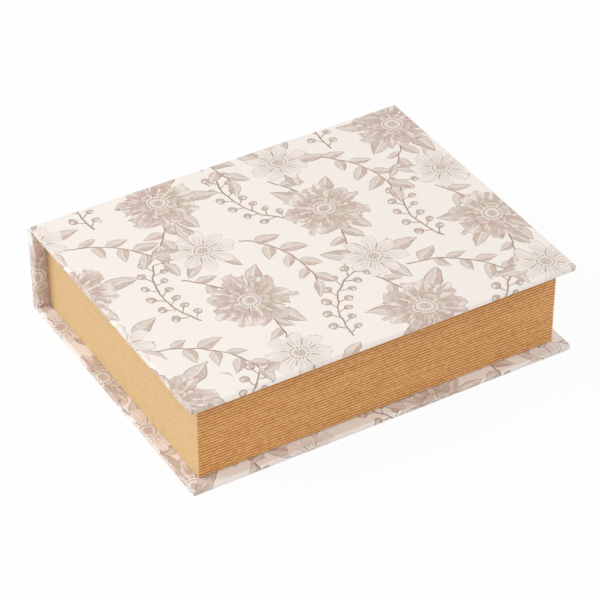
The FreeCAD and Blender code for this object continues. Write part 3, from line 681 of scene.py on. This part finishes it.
# Painted shadow: a dark line (#5A2E08) along the foot of the long sides, where the wall meets the ledge.
foot_shadow = add(tree, "MapRange", painted_light_node, -0.6, -1.8, 0.0, 1.0)
colour = add(tree, "Mix", foot_shadow, colour, linear("#5A2E08"), data_type="RGBA")
fine_way = add(tree, "VectorMath", spot, [1000 / size for size in FINE_GRAIN], operation="MULTIPLY")
fine = add(tree, "TexNoise", fine_way, 1.0, 2.0)
relief = add(tree, "Bump", 0.2, 0.0001, None, fine)
surface = add(tree, "BsdfPrincipled", colour, 0.0, 0.45, 1.8, 1.0, relief)
for socket, value in (("Specular Tint", linear("#241A0A")), ("Coat Roughness", 0.4), ("Coat IOR", 1.3),
                      ("Sheen Weight", 0.3), ("Sheen Roughness", 0.57), ("Sheen Tint", linear("#FBFFEC"))):
    surface.inputs[socket].default_value = value
film = add(tree, "MapRange", painted_light_node, 0.3, 0.9, 0.0, 1.0)
tree.links.new(film.outputs["Result"], surface.inputs["Coat Weight"])
add(tree, "OutputMaterial", surface)

# One rib is an arc with the groove above it. The ribs are stacked, the fold and the flap are added, and the
# whole section is drawn round the tray from corner to corner.
half_rib = (pitch - RIB_GROOVE) / 2
rib_radius = (half_rib ** 2 + RIB_DEPTH ** 2) / (2 * RIB_DEPTH)
rib_root = page_low.y + RIB_DEPTH
mesh = bmesh.new()
foot = mesh.verts.new((0, rib_root, page_low.z + RIB_GROOVE / 2))
arc = bmesh.ops.spin(
    mesh, geom=[foot], cent=(0, page_low.y + rib_radius, page_low.z + pitch / 2), axis=(1, 0, 0),
    angle=-2 * math.asin(half_rib / rib_radius), steps=RIB_STEPS)
last = arc["geom_last"][0]
groove = mesh.verts.new((0, rib_root, last.co.z + RIB_GROOVE))
mesh.edges.new((last, groove))
one_rib = mesh.verts[:] + mesh.edges[:]
for step in range(1, RIB_COUNT):
    copy = bmesh.ops.duplicate(mesh, geom=one_rib)["geom"]
    bmesh.ops.translate(mesh, vec=(0, 0, step * pitch),
                        verts=[v for v in copy if isinstance(v, bmesh.types.BMVert)])
bmesh.ops.remove_doubles(mesh, verts=mesh.verts[:], dist=MERGE)
low_end = min(mesh.verts, key=lambda v: v.co.z)
high_end = max(mesh.verts, key=lambda v: v.co.z)
high_end.co.z = page_high.z
flap_face = wall_high.y + PAGE_PAPER
flap_low = page_high.z - PAGE_TURN_IN
route = [high_end] + [mesh.verts.new((0, y, z)) for y, z in (
    (flap_face, page_high.z), (flap_face, flap_low), (wall_high.y, flap_low), (wall_high.y, wall_high.z),
    (wall_low.y, wall_high.z), (wall_low.y, page_low.z), (rib_root, page_low.z))] + [low_end]
for pair in zip(route, route[1:]):
    mesh.edges.new(pair)
for vert in mesh.verts:
    vert.co.x = page_low.x + (vert.co.y - page_low.y)
middle_y = (page_low.y + page_high.y) / 2
ring = mesh.edges[:]
for flip in ((-1, 1, 1), (1, -1, 1), (-1, 1, 1), (1, -1, 1)):
    spread = bmesh.ops.extrude_edge_only(mesh, edges=ring)["geom"]
    ring = [e for e in spread if isinstance(e, bmesh.types.BMEdge)]
    bmesh.ops.scale(mesh, vec=flip, space=Matrix.Translation((0, -middle_y, 0)),
                    verts=[v for v in spread if isinstance(v, bmesh.types.BMVert)])
bmesh.ops.remove_doubles(mesh, verts=mesh.verts[:], dist=MERGE)
bmesh.ops.recalc_face_normals(mesh, faces=mesh.faces[:])
CORNER_REACH = 0.02
corners = [e for e in mesh.edges if abs(e.verts[0].co.x - e.verts[1].co.x) < CORNER_REACH
           and abs(e.verts[0].co.y - e.verts[1].co.y) < CORNER_REACH]
bmesh.ops.bevel(mesh, geom=corners, offset=PAGE_FOLD, segments=3, profile=0.5, affect="EDGES", material=-1)
LONG_CUTS = 26
SHORT_CUTS = 20
LENGTH_MARGIN = 0.01
for cuts, length in ((LONG_CUTS, wall_high.x - wall_low.x), (SHORT_CUTS, page_high.y - page_low.y)):
    runs = [e for e in mesh.edges if abs(e.calc_length() - length) < LENGTH_MARGIN]
    bmesh.ops.subdivide_edges(mesh, edges=runs, cuts=cuts, use_grid_fill=True)

# Each point gets its level of painted shade or painted paleness, and the ribs wander a little up, down and
# inwards, as pressed paper does.
RIB_WANDER = 0.00006
SIDE_WANDER = 0.4 * RIB_WANDER
INWARD_BIAS = 0.6
WANDER_RATE = Vector((55, 55, 260))
SIDE_SHIFT = Vector((9, 0, 0))
STEADY_MARGIN = 0.001
GROOVE_RISE = -0.3
UNDERSIDE_SHARE = 0.49
TOP_MARGIN = 1e-5
painted_light_level = mesh.verts.layers.float.new("painted_light_level")
for vert in mesh.verts:
    x, y, z = vert.co
    end_rise = max(page_low.x - x, x - page_high.x)
    side_rise = max(page_low.y - y, y - page_high.y)
    rise = max(end_rise, side_rise) / RIB_DEPTH + 1
    on_ribs = rise > GROOVE_RISE and z < page_high.z - TOP_MARGIN
    underside = (z - page_low.z) / pitch % 1 < UNDERSIDE_SHARE
    # Points on the undersides of the ribs get a lower level, for more painted shade.
    painted_level = rise - UNDERSIDE_SHADE * underside
    if end_rise > side_rise:
        # The short sides get the painted-pale level, and less of the painted shade.
        painted_level = PALE_END_LEVEL - END_SHADE_SHARE * (1 - painted_level)
    elif z < page_low.z + pitch / 2:
        # At the foot of the long sides the level drops further, for the painted shadow along the ledge.
        painted_level -= FOOT_SHADE * (1 - (z - page_low.z) / (pitch / 2))
    vert[painted_light_level] = painted_level if on_ribs else 1.0
    if on_ribs and page_low.z + STEADY_MARGIN < z < page_high.z - STEADY_MARGIN:
        place = Vector((x, y, z)) * WANDER_RATE
        sideways = noise.noise(place + SIDE_SHIFT) - INWARD_BIAS
        vert.co.z += RIB_WANDER * noise.noise(place)
        vert.co += Vector((x, y, 0)).normalized() * SIDE_WANDER * sideways
page_edges = new_piece("page_edges", mesh, gold_paper)
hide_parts("page_edge_paper")
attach(page_edges, "box")

# The linings: smooth cream paper pasted on the tray's floor and walls and under the lid, over the turn-ins of
# the other papers.

# Lining paper: uncoated and matt, a little cloudy, with a fine tooth that is drawn coarser than it is, so
# that it shows. Grain is in millimetres.
CLOUD_GRAIN = 11.11
LINING_TOOTH = 0.5556
lining_paper, tree = new_material("lining_paper")
spot = add(tree, "TexCoord").outputs["Object"]
cloud = add(tree, "TexNoise", spot, 1000 / CLOUD_GRAIN, 3.0, 0.6)
colour = add(tree, "Mix", cloud, linear("#EFE8DD"), linear("#F6F1E8"), data_type="RGBA")
tooth = add(tree, "TexNoise", spot, 1000 / LINING_TOOTH, 2.0)
relief = add(tree, "Bump", 0.12, 0.0001, None, tooth)
add(tree, "OutputMaterial", add(tree, "BsdfPrincipled", colour, 0.0, 0.7, 1.45, 1.0, relief))
dress(lining_paper, "floor_lining", "wall_lining", "lid_lining")

# The inner hinge strip: the same lining paper, pasted under the lid and on top of the spine, with a fold
# between them.
LINING = 0.0002
LINING_FOLD = 0.0004
LINING_CUTS = 6
strip_low, strip_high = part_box("inner_hinge_strip")
mesh = bmesh.new()
folded = [mesh.verts.new((strip_low.x, y, z)) for y, z in (
    (strip_low.y, strip_high.z), (strip_high.y, strip_high.z), (strip_high.y, strip_low.z),
    (spine_low.y + PAPER, strip_low.z))]
edges = [mesh.edges.new(pair) for pair in zip(folded, folded[1:])]
spread = bmesh.ops.extrude_edge_only(mesh, edges=edges)["geom"]
bmesh.ops.translate(mesh, vec=(strip_high.x - strip_low.x, 0, 0),
                    verts=[v for v in spread if isinstance(v, bmesh.types.BMVert)])
folds = [e for e in mesh.edges if e.is_manifold]
bmesh.ops.bevel(mesh, geom=folds, offset=LINING_FOLD, segments=3, profile=0.5, affect="EDGES", material=-1)
upright = [e for e in mesh.edges if abs(e.verts[0].co.z - e.verts[1].co.z) > LINING_FOLD]
bmesh.ops.subdivide_edges(mesh, edges=upright, cuts=LINING_CUTS, use_grid_fill=True)
mesh.normal_update()
mesh.faces.ensure_lookup_table()
top = max(mesh.faces, key=lambda f: f.calc_center_median().z)
if top.normal.z < 0:
    bmesh.ops.reverse_faces(mesh, faces=mesh.faces[:])
bmesh.ops.solidify(mesh, geom=mesh.faces[:], thickness=LINING)
hinge_lining = new_piece("hinge_lining", mesh, lining_paper)
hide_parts("inner_hinge_strip")
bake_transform(hinge_lining)

# The closure: two nickel-plated disc magnets let into the inner face of the front wall, just under its top
# edge, and two steel discs let into the underside of the lid board. The papers over them hide both.

# Nickel plate: a bright, slightly warm metal with a faint haze. Grain is in millimetres.
HAZE_GRAIN = 1.111
plated_magnet, tree = new_material("nickel_plate")
spot = add(tree, "TexCoord").outputs["Object"]
haze = add(tree, "TexNoise", spot, 1000 / HAZE_GRAIN, 2.0)
gloss = add(tree, "MapRange", haze, 0.3, 0.7, 0.22, 0.34)
add(tree, "OutputMaterial", add(tree, "BsdfPrincipled", linear("#C9C5BE"), 1.0, gloss))
dress(plated_magnet, "closure_magnets")

# Bright steel: cold-rolled sheet, stamped to discs, with a fine grain along the roll, drawn coarser than it
# is, so that it shows.
ROLL_GRAIN = (5.0, 0.25, 0.25)
steel, tree = new_material("bright_steel")
spot = add(tree, "TexCoord").outputs["Object"]
grain_way = add(tree, "VectorMath", spot, [1000 / size for size in ROLL_GRAIN], operation="MULTIPLY")
grain = add(tree, "TexNoise", grain_way, 1.0, 2.0)
gloss = add(tree, "MapRange", grain, 0.3, 0.7, 0.28, 0.42)
add(tree, "OutputMaterial", add(tree, "BsdfPrincipled", linear("#B4B2AE"), 1.0, gloss))
dress(steel, "closure_keepers")

# The floor: a plain white studio table under soft paper, evenly lit, that keeps part of the box's shadow. The
# paper gives by a few hundredths of a millimetre, so that the base's underside isn't level with it.
FLOOR_REACH = 12.0
FLOOR_GIVE = 0.00004
FLOOR_WHITE = 0.92


def background_rays(tree):
    """A node that gives 1 for the rays that show the background: seen, mirrored or through glass."""
    rays = add(tree, "LightPath").outputs
    seen = add(tree, "Math", rays["Is Camera Ray"], rays["Is Glossy Ray"], operation="ADD")
    return add(tree, "Math", seen, rays["Is Transmission Ray"], operation="ADD", use_clamp=True)


floor_mesh = bmesh.new()
bmesh.ops.create_grid(floor_mesh, x_segments=1, y_segments=1, size=FLOOR_REACH)
bmesh.ops.translate(floor_mesh, vec=(0, 0, FLOOR_GIVE), verts=floor_mesh.verts)
floor_paper, tree = new_material("white_table_paper")
seen = add(tree, "Math", background_rays(tree), FLOOR_WHITE, operation="MULTIPLY")
matt = add(tree, "BsdfDiffuse", linear("#FAFAFA"))
white = add(tree, "Emission", (1, 1, 1, 1), 1.0)
add(tree, "OutputMaterial", add(tree, "MixShader", seen, matt, white))
floor = new_piece("floor", floor_mesh, floor_paper)

# The light: a white dome and two broad soft lamps, one from behind on the left and one from the front above
# the box. The dome lights the box at half the white that it shows behind it.
DOME_LIGHT = 0.52
LAMP_SPREAD = math.radians(40)
world = bpy.data.worlds.new("studio")
bpy.context.scene.world = world
world.use_nodes = True
tree = world.node_tree
tree.nodes.clear()
strength = add(tree, "MapRange", background_rays(tree), 0.0, 1.0, DOME_LIGHT, 1.0)
add(tree, "OutputWorld", add(tree, "Background", (1, 1, 1, 1), strength))
for name, power, way in (("left_lamp", 1.46, (-0.72, 0.5, 0.48)), ("front_lamp", 0.9, (0.0, -0.57, 0.82))):
    light = bpy.data.lights.new(name, "SUN")
    light.energy = power
    light.angle = LAMP_SPREAD
    lamp = bpy.data.objects.new(name, light)
    bpy.context.collection.objects.link(lamp)
    lamp.rotation_euler = Vector(way).to_track_quat("Z", "Y").to_euler()

# The camera stands where the picture was taken from, about a metre and a half off, and looks at a point near
# the middle of the box. Lens and sensor are in millimetres.
LENS = 159.83
SENSOR = 36.0
AZIMUTH = math.radians(-30.718)
ELEVATION = math.radians(37.637)
ROLL = math.radians(-0.098)
TARGET = (-0.0058, -0.0108, 0.02925)
DISTANCE = 1.4745
camera_data = bpy.data.cameras.new("camera")
camera_data.lens = LENS
camera_data.sensor_width = SENSOR
camera = bpy.data.objects.new("camera", camera_data)
bpy.context.collection.objects.link(camera)
turn = Matrix.Rotation(AZIMUTH, 4, "Z") @ Matrix.Rotation(math.pi / 2 - ELEVATION, 4, "X")
turn = turn @ Matrix.Rotation(ROLL, 4, "Z")
camera.matrix_world = Matrix.Translation(TARGET) @ turn @ Matrix.Translation((0, 0, DISTANCE))
bpy.context.scene.camera = camera

bpy.context.scene.view_settings.view_transform = "Standard"
bpy.context.view_layer.update()
